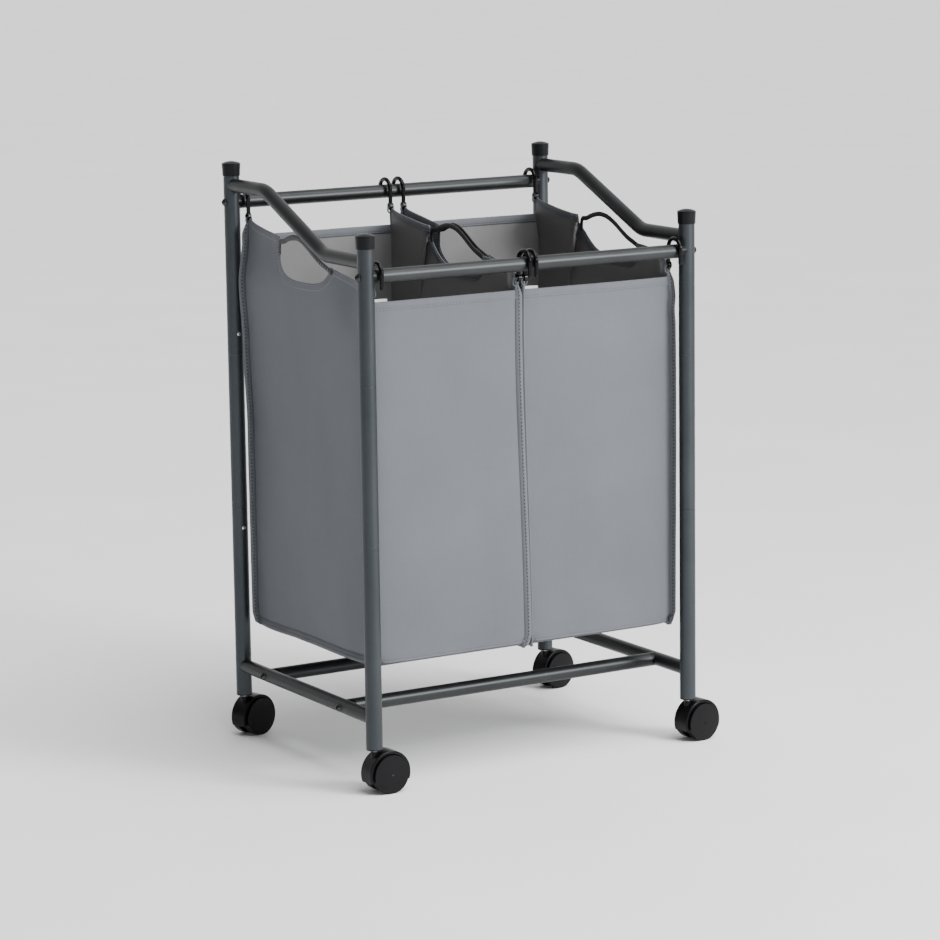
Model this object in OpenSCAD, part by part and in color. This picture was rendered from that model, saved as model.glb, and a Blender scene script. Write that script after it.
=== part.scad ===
// Rolling laundry sorter: a knock-down steel tube frame with two lift-off fabric
// bags that hang from plastic hooks, on four twin-wheel swivel casters.
// X runs left to right, Y front to back, Z up. The origin is on the floor, in the
// middle of the four posts.

/* [Frame] */
// Distance between the left and right post axes
post_span_x = 498; // [480:1:520]
// Distance between the front and back post axes
post_span_y = 370; // [360:1:390]
// Outer diameter of the posts
post_d = 22; // [22:0.5:23]
// Outer diameter of the rails and side handles
rail_d = 19; // [18.5:0.5:19]
// Wall thickness of every tube
tube_wall = 1; // [0.8:0.1:1.2]
// Top of the front posts' caps above the floor
front_height = 738.5; // [735:0.5:745]
// Top of the back posts' caps above the floor
back_height = 806; // [800:0.5:812]
// Joint between the lower and middle post lengths
lower_joint_z = 327; // [310:1:345]
// Joint between the middle and upper post lengths
upper_joint_z = 540; // [520:1:560]
// Height of the lower rails' centre line
lower_rail_z = 101; // [98:1:112]
// Distance of each lower cross rail from the middle
lower_rail_y = 107; // [95:1:120]

/* [Side handles] */
// Where the handle leaves its high level, behind the middle
handle_back_bend_y = 86; // [80:1:95]
// Where the handle reaches its low level, in front of the middle
handle_front_bend_y = -77; // [-90:1:-70]
// Centre line radius of the two bends
handle_bend_r = 60; // [40:5:80]

/* [Bags] */
// Width of one bag
bag_w = 232; // [225:1:232]
// Depth of a bag from its front panel to its back panel
bag_d = 340; // [330:1:342]
// Thickness of the bag cloth with its hems
cloth = 2; // [1.5:0.1:2.5]
// Bottom of the bags above the floor
bag_bottom_z = 168; // [150:1:190]
// Width of the hand hole in each side panel
hand_hole_w = 141; // [120:1:150]

/* [Hooks] */
// Diameter of a hook's rod
hook_d = 5.8; // [5:0.1:5.8]
// Centre line radius of a hook's arch
hook_r = 14.4; // [14.2:0.1:14.6]

/* [Casters] */
// Wheel diameter
wheel_d = 52; // [50:1:53]
// Width of one wheel
wheel_w = 13; // [11:0.5:13.5]
// Distance from the swivel axis to the wheel axle
trail = 16.5; // [15:0.5:17.5]

/* [Hidden] */
$fn = 64;
thin = 0.01;
fit_gap = 0.05;
part_gap = 0.15;
bend_lap = 1.5;
bend_skin = 0.05;

post_x = post_span_x / 2;
post_y = post_span_y / 2;
post_r = post_d / 2;
rail_r = rail_d / 2;
post_bore_d = post_d - 2 * tube_wall;
rail_bore_d = rail_d - 2 * tube_wall;

cap_h = 20;
cap_wall = 1.4;
cap_flare = 0.7;
cap_edge = 0.9;
cap_crown = 3;
socket_lip = 1.5;
post_bottom_z = 59;
tube_bottom_z = post_bottom_z + socket_lip;
front_tube_top = front_height - cap_crown;
back_tube_top = back_height - cap_crown;

// Each cross rail hangs a fixed drop below its cap, and each handle end sits just over it
cap_to_rail = 56;
cap_to_handle_back = 33;
cap_to_handle_front = 37.5;
back_rail_z = back_height - cap_to_rail;
front_rail_z = front_height - cap_to_rail - 0.5;
handle_back_z = back_height - cap_to_handle_back;
handle_front_z = front_height - cap_to_handle_front;

saddle_t = 3;
spigot_l = 6;
nut_l = 12;
bolt_d = 6;
bolt_hole_d = 6.4;
bolt_head_d = 11;
bolt_head_h = 4;

connector_l = 80;
connector_wall = 1.2;
rivet_offset = 29;
rivet_d = 3;
rivet_head_d = 5.4;
rivet_head_h = 0.9;

// Bag faces: each bag's outer left face, then the shared heights
left_bag_x = -236.5;
right_bag_x = 1.5;
bag_front_y = -bag_d / 2;
front_corner_z = 657;
back_corner_z = 725;
hole_back_top_z = 711;
hole_front_top_z = 681;
front_hem_z = 646;
back_hem_z = 704;
corner_tab_w = 12;
hole_back_y = 72;
hole_front_y = hole_back_y - hand_hole_w;
hole_bottom_z = 656;
hole_corner_r = 24;
strap_t = 1.5;
strap_w = 8;
strap_rise = 21;
strap_inset = 2;
strap_tail_deg = 4;

// Hooks: where they hang along the rails, and their shape about the rail's centre
left_hooks_back = [-232.5, -9];
left_hooks_front = [-232.5, -9];
right_hooks_back = [12, 230];
right_hooks_front = [1, 230];
hook_shift = -1.7;
hook_lift = 2.7;
hook_free_end_front = -14.5;
hook_free_end_back = -8;
eye_drop = -19.8;
eye_d = 10.4;
eye_hole_d = 4.6;
eye_t = 5;

// Casters: centre of each, and how far it has swivelled
CASTER_X = [-1, 1, 1, -1];
CASTER_Y = [-1, -1, 1, 1];
CASTER_TURN = [2, 6.5, 12, 16.5];
wheel_r = wheel_d / 2;
wheel_inner_y = 5.25;
wheel_fillet = 2;
wheel_crown_r = 260;
hood_r = wheel_r + 5;
hood_bore_r = wheel_r + 1.2;
hood_half_w = 13;
hood_fillet = 1.5;
web_half_w = 4.8;
axle_d = 6;
axle_boss_r = 9;
axle_half_l = 14;
stem_neck_d = 7;
stem_shank_d = 8;
stem_flange_d = 12;
stem_flange_t = 1.2;
stem_top_z = 95;
stem_foot_z = 40;
stem_boss_d = 10;
stem_boss_top = 56.4;
hood_low_end = 200;
hood_high_end = 340;
socket_l = 45;

// ---- helpers ---------------------------------------------------------------

// Rod or tube core from p to q in the XY plane
module rod_between(p, q, d) {
    v = q - p;
    translate([p.x, p.y, 0])
        rotate([0, 0, atan2(v.y, v.x)])
            rotate([0, 90, 0]) cylinder(d = d, h = norm(v));
}

// Cylinder along X from x0 to x1
module bar_x(x0, x1, d) {
    translate([x0, 0, 0]) rotate([0, 90, 0]) cylinder(d = d, h = x1 - x0);
}

// Cylinder along Y from y0 to y1
module bar_y(y0, y1, d) {
    translate([0, y0, 0]) rotate([-90, 0, 0]) cylinder(d = d, h = y1 - y0);
}

// Turns a drawing in X-Y into the Y-Z plane, with its thickness along X
module in_side_plane() {
    rotate([90, 0, 90]) children();
}

// Places children at the four posts
module at_posts() {
    for (sx = [-1, 1], sy = [-1, 1])
        translate([sx * post_x, sy * post_y, 0]) children();
}

// ---- posts -----------------------------------------------------------------

// One length of post tube on its own axis
module post_tube(z0, z1) {
    translate([0, 0, z0])
        difference() {
            cylinder(d = post_d, h = z1 - z0);
            translate([0, 0, -1]) cylinder(d = post_bore_d, h = z1 - z0 + 2);
        }
}

// Rivet hole through the wall that faces the middle of the frame
module rivet_hole(sy, z) {
    translate([0, -sy * post_r, z]) bar_y(-4, 4, rivet_d + 2 * fit_gap);
}

module upper_post(sx, sy) {
    top = sy > 0 ? back_tube_top : front_tube_top;
    bolt_z = sy > 0 ? back_rail_z : front_rail_z;
    color("#4d5257")
        translate([sx * post_x, sy * post_y, 0])
            difference() {
                post_tube(upper_joint_z + part_gap, top);
                translate([0, 0, bolt_z]) bar_x(-post_d, post_d, bolt_hole_d);
                rivet_hole(sy, upper_joint_z + rivet_offset);
            }
}

module middle_post(sx, sy) {
    color("#4d5257")
        translate([sx * post_x, sy * post_y, 0])
            post_tube(lower_joint_z + part_gap, upper_joint_z - part_gap);
}

module lower_post(sx, sy) {
    color("#4d5257")
        translate([sx * post_x, sy * post_y, 0])
            difference() {
                post_tube(tube_bottom_z, lower_joint_z - part_gap);
                rivet_hole(sy, lower_joint_z - rivet_offset);
            }
}

// Sleeves inside the posts that join the three lengths
module post_connectors() {
    sleeve_d = post_bore_d - 2 * fit_gap;
    color("#8d9196")
        for (sx = [-1, 1], sy = [-1, 1], level = [0, 1])
            translate([sx * post_x, sy * post_y, level == 1 ? upper_joint_z : lower_joint_z])
                difference() {
                    translate([0, 0, -connector_l / 2]) cylinder(d = sleeve_d, h = connector_l);
                    translate([0, 0, -connector_l / 2 - 1])
                        cylinder(d = sleeve_d - 2 * connector_wall, h = connector_l + 2);
                    rivet_hole(sy, level == 1 ? rivet_offset : -rivet_offset);
                }
}

// Dome-headed rivets that hold each sleeve in the upper or the lower post
module connector_rivets() {
    color("#a7abaf")
        for (sx = [-1, 1], sy = [-1, 1], level = [0, 1])
            translate([sx * post_x, sy * (post_y - post_r),
                       level == 1 ? upper_joint_z + rivet_offset : lower_joint_z - rivet_offset])
                rotate([sy * 90, 0, 0]) rivet();
}

// Rivet whose head stands on Z = 0 and whose shank goes down
module rivet() {
    shank_l = tube_wall + connector_wall + 0.4;
    sphere_r = (rivet_head_d * rivet_head_d / 4 + rivet_head_h * rivet_head_h) / (2 * rivet_head_h);
    translate([0, 0, -shank_l]) cylinder(d = rivet_d, h = shank_l + 0.1);
    intersection() {
        translate([0, 0, 0.05]) cylinder(d = rivet_head_d, h = 2);
        translate([0, 0, rivet_head_h - sphere_r]) sphere(r = sphere_r);
    }
}

// Domed plastic caps that slip over the post tops
module post_caps() {
    color("#1f2124")
        for (sx = [-1, 1], sy = [-1, 1])
            translate([sx * post_x, sy * post_y, sy > 0 ? back_height : front_height])
                post_cap();
}

// Cap with its crown at Z = 0
module post_cap() {
    skirt_r = post_r + cap_wall - cap_flare / 2;
    top_r = post_r + cap_wall + cap_flare / 2;
    crown_r = (top_r * top_r + cap_crown * cap_crown) / (2 * cap_crown);
    difference() {
        intersection() {
            rotate_extrude()
                polygon([
                    [0, -cap_h], [skirt_r, -cap_h], [top_r, -2 * cap_crown],
                    [top_r, -cap_crown], [top_r - cap_edge, 0], [0, 0]
                ]);
            translate([0, 0, -crown_r]) sphere(r = crown_r, $fn = 96);
        }
        translate([0, 0, -cap_h - 1])
            cylinder(r = post_r + fit_gap, h = cap_h + 1 - cap_crown + fit_gap);
    }
}

// ---- side handles and rails --------------------------------------------------

// Bent bar in the side plane: level, slope, level. Its ends run on past the posts' axes by more,
// and the bends are a hair thicker than the straights that run into them
module handle_bar(d, more) {
    slope = atan2(handle_back_z - handle_front_z, handle_back_bend_y - handle_front_bend_y);
    tangent = handle_bend_r * tan(slope / 2);
    along = [cos(slope), sin(slope)];
    back_bend = [handle_back_bend_y, handle_back_z];
    front_bend = [handle_front_bend_y, handle_front_z];
    level = [tangent - bend_lap, 0];
    rod_between(back_bend + level, [post_y + more, handle_back_z], d);
    rod_between(front_bend + level.x * along, back_bend - level.x * along, d);
    rod_between([-post_y - more, handle_front_z], front_bend - level, d);
    translate([back_bend.x + tangent, back_bend.y - handle_bend_r, 0])
        rotate([0, 0, 90]) bend(slope, d);
    translate([front_bend.x - tangent, front_bend.y + handle_bend_r, 0])
        rotate([0, 0, 270]) bend(slope, d);
}

// Bent stretch of a bar
module bend(angle, d) {
    rotate_extrude(angle = angle) translate([handle_bend_r, 0]) circle(d = d + 2 * bend_skin);
}

// Handle welded between a front and a back post, with both ends shaped round the posts
module side_handle(sx) {
    color("#44484c")
        translate([sx * post_x, 0, 0])
            difference() {
                in_side_plane() handle_bar(rail_d, 0);
                in_side_plane() handle_bar(rail_bore_d, 2);
                for (sy = [-1, 1])
                    translate([0, sy * post_y, handle_front_z - 2 * rail_d])
                        cylinder(r = post_r + fit_gap, h = 10 * rail_d);
            }
}

// Lower rail from a front post to a back post, drilled for the cross rails' bolts
module lower_side_rail(sx) {
    color("#44484c")
        translate([sx * post_x, 0, lower_rail_z])
            difference() {
                bar_y(-post_y, post_y, rail_d);
                bar_y(-post_y - 1, post_y + 1, rail_bore_d);
                for (sy = [-1, 1]) {
                    translate([0, sy * post_y, -rail_d])
                        cylinder(r = post_r + fit_gap, h = 2 * rail_d);
                    translate([0, sy * lower_rail_y, 0]) bar_x(-rail_d, rail_d, bolt_hole_d);
                }
            }
}

// Cross rail from saddle to saddle
module cross_rail(y, z, half_l) {
    color("#565b60")
        translate([0, y, z])
            difference() {
                bar_x(-half_l, half_l, rail_d);
                bar_x(-half_l - 1, half_l + 1, rail_bore_d);
            }
}

top_half_l = post_x - post_r - saddle_t;
lower_half_l = post_x - rail_r - saddle_t;

module top_rail(sy) {
    cross_rail(sy * post_y, sy > 0 ? back_rail_z : front_rail_z, top_half_l);
}

module lower_rail(sy) {
    cross_rail(sy * lower_rail_y, lower_rail_z, lower_half_l);
}

// Places children at both ends of the four cross rails, with +X towards the rail's middle
// and X = 0 on the rail's end. Even children go on the top rails, odd ones on the lower rails
module at_rail_ends() {
    for (sx = [-1, 1], sy = [-1, 1]) {
        translate([-sx * top_half_l, sy * post_y, sy > 0 ? back_rail_z : front_rail_z])
            rotate([0, 0, sx > 0 ? 0 : 180]) children(0);
        translate([-sx * lower_half_l, sy * lower_rail_y, lower_rail_z])
            rotate([0, 0, sx > 0 ? 0 : 180]) children(1);
    }
}

// Plastic end piece: a spigot in the rail and a hollowed face against a post or side rail
module saddle(seat_r, upright) {
    difference() {
        union() {
            bar_x(-saddle_t - seat_r, 0, rail_d);
            bar_x(-thin, spigot_l, rail_bore_d - 2 * fit_gap);
        }
        translate([-saddle_t - seat_r, 0, 0])
            rotate([upright ? 0 : 90, 0, 0])
                cylinder(r = seat_r + fit_gap, h = 2 * post_d, center = true);
        bar_x(-saddle_t - seat_r - 1, spigot_l + 1, bolt_hole_d);
    }
}

module rail_end_saddles() {
    color("#1f2124")
        at_rail_ends() {
            saddle(post_r, true);
            saddle(rail_r, false);
        }
}

// Threaded slug pressed into the rail behind its saddle
module rail_nut() {
    difference() {
        bar_x(spigot_l + part_gap, spigot_l + part_gap + nut_l, rail_bore_d - 2 * fit_gap);
        bar_x(0, 2 * nut_l + spigot_l, bolt_d + 2 * fit_gap);
    }
}

module rail_end_nuts() {
    color("#9a9ea2")
        at_rail_ends() {
            rail_nut();
            rail_nut();
        }
}

// Round-headed hexagon socket bolt with its head against X = -seat and its shank along +X
module rail_bolt(seat, tip) {
    sphere_r = (bolt_head_d * bolt_head_d / 4 + bolt_head_h * bolt_head_h) / (2 * bolt_head_h);
    bar_x(-seat - 0.5, tip, bolt_d);
    translate([-seat - fit_gap, 0, 0])
        rotate([0, -90, 0])
            difference() {
                intersection() {
                    cylinder(d = bolt_head_d, h = bolt_head_h);
                    translate([0, 0, bolt_head_h - sphere_r]) sphere(r = sphere_r);
                }
                translate([0, 0, bolt_head_h - 2]) cylinder(d = 4.6, h = 3, $fn = 6);
            }
}

module top_rail_bolts() {
    color("#2b2d30")
        for (sx = [-1, 1], sy = [-1, 1])
            translate([-sx * top_half_l, sy * post_y, sy > 0 ? back_rail_z : front_rail_z])
                rotate([0, 0, sx > 0 ? 0 : 180]) rail_bolt(saddle_t + post_d, spigot_l + nut_l - 1);
}

module lower_rail_bolts() {
    color("#2b2d30")
        for (sx = [-1, 1], sy = [-1, 1])
            translate([-sx * lower_half_l, sy * lower_rail_y, lower_rail_z])
                rotate([0, 0, sx > 0 ? 0 : 180]) rail_bolt(saddle_t + rail_d, spigot_l + nut_l - 1);
}

// ---- casters -----------------------------------------------------------------

// Plastic plugs in the post bottoms that hold the caster stems
module caster_sockets() {
    color("#1f2124")
        at_posts()
            difference() {
                union() {
                    translate([0, 0, post_bottom_z]) cylinder(d = post_d, h = socket_lip);
                    translate([0, 0, post_bottom_z])
                        cylinder(d = post_bore_d - 2 * fit_gap, h = socket_lip + socket_l);
                }
                translate([0, 0, post_bottom_z - 1])
                    cylinder(d = stem_shank_d + 2 * fit_gap, h = stem_top_z - post_bottom_z + 1.5);
            }
}

// Steel stems: a shank in the socket, a flange under it and a neck that the hood turns on
module caster_stems() {
    color("#b9bcc0")
        at_posts() {
            translate([0, 0, stem_foot_z])
                cylinder(d = stem_neck_d, h = post_bottom_z - stem_flange_t - stem_foot_z);
            translate([0, 0, post_bottom_z - stem_flange_t])
                cylinder(d = stem_flange_d, h = stem_flange_t);
            translate([0, 0, post_bottom_z])
                cylinder(d = stem_shank_d, h = stem_top_z - post_bottom_z);
        }
}

// Puts children on the swivel axis of caster i, turned as it stands, trailing along +X
module at_caster(i) {
    translate([CASTER_X[i] * post_x, CASTER_Y[i] * post_y, 0])
        rotate([0, 0, CASTER_TURN[i]]) children();
}

// Half section of a disc with rounded rims, to be revolved
module rounded_disc(r, half_w, fillet) {
    translate([0, -half_w]) square([r - fillet, 2 * half_w]);
    translate([0, -half_w + fillet]) square([r, 2 * (half_w - fillet)]);
    for (side = [-1, 1])
        translate([r - fillet, side * (half_w - fillet)]) circle(r = fillet, $fn = 24);
}

// Hood over both wheels, with a middle web that carries the stem and the axle
module caster_hood(i) {
    reach = 2 * hood_r;
    color("#17181a")
        at_caster(i)
            difference() {
                union() {
                    difference() {
                        translate([trail, 0, wheel_r])
                            rotate([90, 0, 0])
                                rotate_extrude($fn = 96) rounded_disc(hood_r, hood_half_w, hood_fillet);
                        for (side = [-1, 1])
                            translate([trail, side * (web_half_w + reach / 2), wheel_r])
                                rotate([90, 0, 0])
                                    cylinder(r = hood_bore_r, h = reach, center = true, $fn = 96);
                        translate([trail, 0, wheel_r])
                            rotate([90, 0, 0])
                                linear_extrude(height = 2 * reach, center = true)
                                    polygon([
                                        [0, 0],
                                        reach * [cos(hood_low_end), sin(hood_low_end)],
                                        [-reach, -reach], [reach, -reach],
                                        reach * [cos(hood_high_end), sin(hood_high_end)]
                                    ]);
                    }
                    translate([trail, 0, wheel_r])
                        rotate([90, 0, 0]) cylinder(r = axle_boss_r, h = 2 * web_half_w, center = true);
                    translate([0, 0, stem_foot_z - 6])
                        cylinder(d = stem_boss_d, h = stem_boss_top - stem_foot_z + 6);
                }
                translate([0, 0, stem_foot_z - 0.5])
                    cylinder(d = stem_neck_d + 2 * fit_gap, h = reach);
                translate([trail, 0, wheel_r]) bar_y(-reach, reach, axle_d + thin);
            }
}

// Steel axle through the web, on which both wheels turn
module caster_axle(i) {
    color("#b9bcc0")
        at_caster(i)
            translate([trail, 0, wheel_r]) bar_y(-axle_half_l, axle_half_l, axle_d);
}

// Wheel with a closed, slightly crowned outer face and a dished inner face. side is -1 or 1
module caster_wheel(i, side) {
    half_w = wheel_w / 2;
    hub_r = 7;
    rim_r = wheel_r - 5;
    face_t = 3;
    color("#1a1b1d")
        at_caster(i)
            translate([trail, side * (wheel_inner_y + half_w), wheel_r])
                rotate([-side * 90, 0, 0])
                    difference() {
                        intersection() {
                            rotate_extrude($fn = 96) rounded_disc(wheel_r, half_w, wheel_fillet);
                            translate([0, 0, half_w - wheel_crown_r])
                                sphere(r = wheel_crown_r, $fn = 192);
                        }
                        translate([0, 0, -half_w - 1])
                            difference() {
                                cylinder(r = rim_r, h = wheel_w - face_t + 1);
                                cylinder(r = hub_r, h = wheel_w - face_t + 1);
                            }
                        translate([0, 0, -half_w - 1])
                            cylinder(d = axle_d + 2 * fit_gap, h = wheel_w - face_t + 1);
                    }
}

// ---- bags --------------------------------------------------------------------

// Front or back panel: a flat sheet whose corners rise to the hooks
module cross_panel(x0, y0, hem_z, corner_z) {
    color("#8b8d90")
        translate([0, y0 + cloth, 0])
            rotate([90, 0, 0])
                linear_extrude(height = cloth)
                    polygon([
                        [x0, bag_bottom_z], [x0 + bag_w, bag_bottom_z],
                        [x0 + bag_w, corner_z], [x0 + bag_w - corner_tab_w, corner_z],
                        [x0 + bag_w - 2 * corner_tab_w, hem_z], [x0 + 2 * corner_tab_w, hem_z],
                        [x0 + corner_tab_w, corner_z], [x0, corner_z]
                    ]);
}

module front_panel(x0) {
    cross_panel(x0, bag_front_y, front_hem_z, front_corner_z);
}

module back_panel(x0) {
    cross_panel(x0, bag_front_y + bag_d - cloth, back_hem_z, back_corner_z);
}

// Side panel: its top slopes down from the high back corner to the front one, with a hand hole
module side_panel(x) {
    inner_y = bag_d / 2 - cloth;
    color("#8b8d90")
        translate([x, 0, 0])
            in_side_plane()
                linear_extrude(height = cloth)
                    difference() {
                        polygon([
                            [-inner_y, bag_bottom_z], [inner_y, bag_bottom_z],
                            [inner_y, back_corner_z], [hole_back_y, hole_back_top_z],
                            [hole_front_y, hole_front_top_z], [-inner_y, front_corner_z]
                        ]);
                        hand_hole();
                    }
}

// U-shaped outline of the hand hole, open at the top
module hand_hole() {
    translate([hole_front_y, hole_bottom_z + hole_corner_r]) square([hand_hole_w, 100]);
    translate([hole_front_y + hole_corner_r, hole_bottom_z])
        square([hand_hole_w - 2 * hole_corner_r, 100]);
    for (y = [hole_front_y + hole_corner_r, hole_back_y - hole_corner_r])
        translate([y, hole_bottom_z + hole_corner_r]) circle(r = hole_corner_r);
}

module bottom_panel(x0) {
    color("#7d7f82")
        translate([x0 + cloth, bag_front_y + cloth, bag_bottom_z])
            cube([bag_w - 2 * cloth, bag_d - 2 * cloth, cloth]);
}

// Carrying straps: flat webbing arched over each hand hole and sewn outside the panel
module bag_straps(x0) {
    back_end = [hole_back_y + strap_inset, hole_back_top_z - strap_w / 2];
    front_end = [hole_front_y - strap_inset, hole_front_top_z - strap_w / 2];
    span = norm(back_end - front_end);
    arch_r = (span * span / 4 + strap_rise * strap_rise) / (2 * strap_rise);
    up = [front_end.y - back_end.y, back_end.x - front_end.x] / span;
    centre = (back_end + front_end) / 2 - (arch_r - strap_rise) * up;
    to_back = atan2(back_end.y - centre.y, back_end.x - centre.x) - strap_tail_deg;
    to_front = atan2(front_end.y - centre.y, front_end.x - centre.x) + strap_tail_deg;
    color("#1f2124")
        for (x = [x0 - strap_t - part_gap, x0 + bag_w + part_gap])
            translate([x, 0, 0])
                in_side_plane()
                    translate([centre.x, centre.y, 0])
                        rotate([0, 0, to_back])
                            rotate_extrude(angle = to_front - to_back, $fn = 180)
                                translate([arch_r - strap_w / 2, 0]) square([strap_w, strap_t]);
}

// One hook in the side plane about the rail's centre. +X is away from the bag. Its free end
// stops lower at the front than at the back
module hook(free_end) {
    arch_x = hook_shift;
    rotate([90, 0, 0]) {
        translate([arch_x, hook_lift, 0])
            rotate_extrude(angle = 180) translate([hook_r, 0]) circle(d = hook_d, $fn = 32);
        rod_between([arch_x + hook_r, free_end], [arch_x + hook_r, hook_lift], hook_d, $fn = 32);
        translate([arch_x + hook_r, free_end, 0]) sphere(d = hook_d, $fn = 32);
        difference() {
            union() {
                rod_between([arch_x - hook_r, eye_drop], [arch_x - hook_r, hook_lift], hook_d, $fn = 32);
                translate([arch_x - hook_r, eye_drop, 0]) cylinder(d = eye_d, h = eye_t, center = true);
            }
            translate([arch_x - hook_r, eye_drop, 0]) cylinder(d = eye_hole_d, h = 20, center = true);
        }
    }
}

// The four hooks of one bag
module bag_hooks(back_x, front_x) {
    color("#141516") {
        for (x = back_x)
            translate([x, post_y, back_rail_z]) rotate([0, 0, 90]) hook(hook_free_end_back);
        for (x = front_x)
            translate([x, -post_y, front_rail_z]) rotate([0, 0, -90]) hook(hook_free_end_front);
    }
}

// ---- the part ------------------------------------------------------------------

upper_post(-1, 1);  // back_left_upper_post
upper_post(1, 1);  // back_right_upper_post
upper_post(-1, -1);  // front_left_upper_post
upper_post(1, -1);  // front_right_upper_post
middle_post(-1, 1);  // back_left_middle_post
middle_post(1, 1);  // back_right_middle_post
middle_post(-1, -1);  // front_left_middle_post
middle_post(1, -1);  // front_right_middle_post
lower_post(-1, 1);  // back_left_lower_post
lower_post(1, 1);  // back_right_lower_post
lower_post(-1, -1);  // front_left_lower_post
lower_post(1, -1);  // front_right_lower_post
side_handle(-1);  // left_side_handle
side_handle(1);  // right_side_handle
lower_side_rail(-1);  // left_lower_side_rail
lower_side_rail(1);  // right_lower_side_rail
top_rail(1);  // back_top_rail
top_rail(-1);  // front_top_rail
lower_rail(1);  // back_lower_rail
lower_rail(-1);  // front_lower_rail
post_connectors();
connector_rivets();
rail_end_saddles();
rail_end_nuts();
top_rail_bolts();
lower_rail_bolts();
post_caps();
caster_sockets();
caster_stems();
caster_hood(0);  // front_left_caster_hood
caster_hood(1);  // front_right_caster_hood
caster_hood(2);  // back_right_caster_hood
caster_hood(3);  // back_left_caster_hood
caster_axle(0);  // front_left_caster_axle
caster_axle(1);  // front_right_caster_axle
caster_axle(2);  // back_right_caster_axle
caster_axle(3);  // back_left_caster_axle
caster_wheel(0, -1);  // front_left_near_wheel
caster_wheel(1, -1);  // front_right_near_wheel
caster_wheel(2, -1);  // back_right_near_wheel
caster_wheel(3, -1);  // back_left_near_wheel
caster_wheel(0, 1);  // front_left_far_wheel
caster_wheel(1, 1);  // front_right_far_wheel
caster_wheel(2, 1);  // back_right_far_wheel
caster_wheel(3, 1);  // back_left_far_wheel
front_panel(left_bag_x);  // left_bag_front_panel
back_panel(left_bag_x);  // left_bag_back_panel
side_panel(left_bag_x);  // left_bag_left_panel
side_panel(left_bag_x + bag_w - cloth);  // left_bag_right_panel
bottom_panel(left_bag_x);  // left_bag_bottom_panel
bag_straps(left_bag_x);  // left_bag_straps
bag_hooks(left_hooks_back, left_hooks_front);  // left_bag_hooks
front_panel(right_bag_x);  // right_bag_front_panel
back_panel(right_bag_x);  // right_bag_back_panel
side_panel(right_bag_x);  // right_bag_left_panel
side_panel(right_bag_x + bag_w - cloth);  // right_bag_right_panel
bottom_panel(right_bag_x);  // right_bag_bottom_panel
bag_straps(right_bag_x);  // right_bag_straps
bag_hooks(right_hooks_back, right_hooks_front);  // right_bag_hooks
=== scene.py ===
"""Rolling laundry sorter: looks for the two hung bags, and finishes for the frame, hooks and casters."""
import math

import bmesh
import bpy
from mathutils import Matrix, Vector, noise


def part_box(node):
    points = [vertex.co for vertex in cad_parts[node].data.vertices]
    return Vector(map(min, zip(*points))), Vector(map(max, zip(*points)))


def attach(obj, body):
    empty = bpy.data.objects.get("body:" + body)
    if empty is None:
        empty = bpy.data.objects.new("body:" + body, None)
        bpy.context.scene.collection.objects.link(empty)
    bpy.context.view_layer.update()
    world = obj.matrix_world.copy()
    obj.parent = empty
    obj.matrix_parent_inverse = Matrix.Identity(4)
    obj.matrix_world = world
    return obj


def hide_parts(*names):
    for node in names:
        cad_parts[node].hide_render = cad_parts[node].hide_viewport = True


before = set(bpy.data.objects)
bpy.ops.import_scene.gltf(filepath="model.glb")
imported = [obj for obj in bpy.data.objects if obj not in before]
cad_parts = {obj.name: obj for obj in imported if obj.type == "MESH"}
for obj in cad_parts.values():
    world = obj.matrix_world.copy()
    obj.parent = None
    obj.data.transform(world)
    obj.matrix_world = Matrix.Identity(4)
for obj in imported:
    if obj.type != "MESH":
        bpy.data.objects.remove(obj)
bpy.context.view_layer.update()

MM = 0.001
BAGS = ("left_bag", "right_bag")
CORNERS = ("fl", "fr", "br", "bl")


# ---- small maths -------------------------------------------------------------

def smooth(a, b, x):
    """0 below a, 1 above b, and a smooth step between them."""
    t = min(max((x - a) / (b - a), 0.0), 1.0)
    return t * t * (3 - 2 * t)


def bump(x, centre, width):
    return math.exp(-((x - centre) / width) ** 2)


def along(knots, x):
    """Smooth curve through (x, value) knots with level ends."""
    if x <= knots[0][0]:
        return knots[0][1]
    for (xa, va), (xb, vb) in zip(knots, knots[1:]):
        if x <= xb:
            t = (x - xa) / (xb - xa)
            return va + (vb - va) * t * t * (3 - 2 * t)
    return knots[-1][1]


def catmull(points, per_span=10):
    """Smooth curve through points."""
    pts = [2 * points[0] - points[1]] + list(points) + [2 * points[-1] - points[-2]]
    out = []
    for i in range(1, len(pts) - 2):
        p0, p1, p2, p3 = pts[i - 1:i + 3]
        for j in range(per_span):
            t = j / per_span
            out.append(0.5 * (2 * p1 + (p2 - p0) * t + (2 * p0 - 5 * p1 + 4 * p2 - p3) * t * t
                              + (3 * p1 - p0 - 3 * p2 + p3) * t ** 3))
    out.append(points[-1].copy())
    return out


# ---- mesh helpers ------------------------------------------------------------

def add_mesh(name, verts, faces, materials, smooth_shading=True):
    """Object from vertices in millimetres."""
    mesh = bpy.data.meshes.new(name)
    mesh.from_pydata([tuple(MM * c for c in v) for v in verts], [], faces)
    mesh.update()
    for material in materials:
        mesh.materials.append(material)
    mesh.polygons.foreach_set("use_smooth", [smooth_shading] * len(mesh.polygons))
    obj = bpy.data.objects.new(name, mesh)
    bpy.context.scene.collection.objects.link(obj)
    return obj


def sweep(rings, caps=True):
    """Vertices and faces of a skin over equal closed rings of points."""
    n = len(rings[0])
    verts = [p for ring in rings for p in ring]
    faces = []
    for i in range(len(rings) - 1):
        for j in range(n):
            k = (j + 1) % n
            faces.append((i * n + j, i * n + k, (i + 1) * n + k, (i + 1) * n + j))
    if caps:
        faces.append(tuple(reversed(range(n))))
        faces.append(tuple(range((len(rings) - 1) * n, len(rings) * n)))
    return verts, faces


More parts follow.
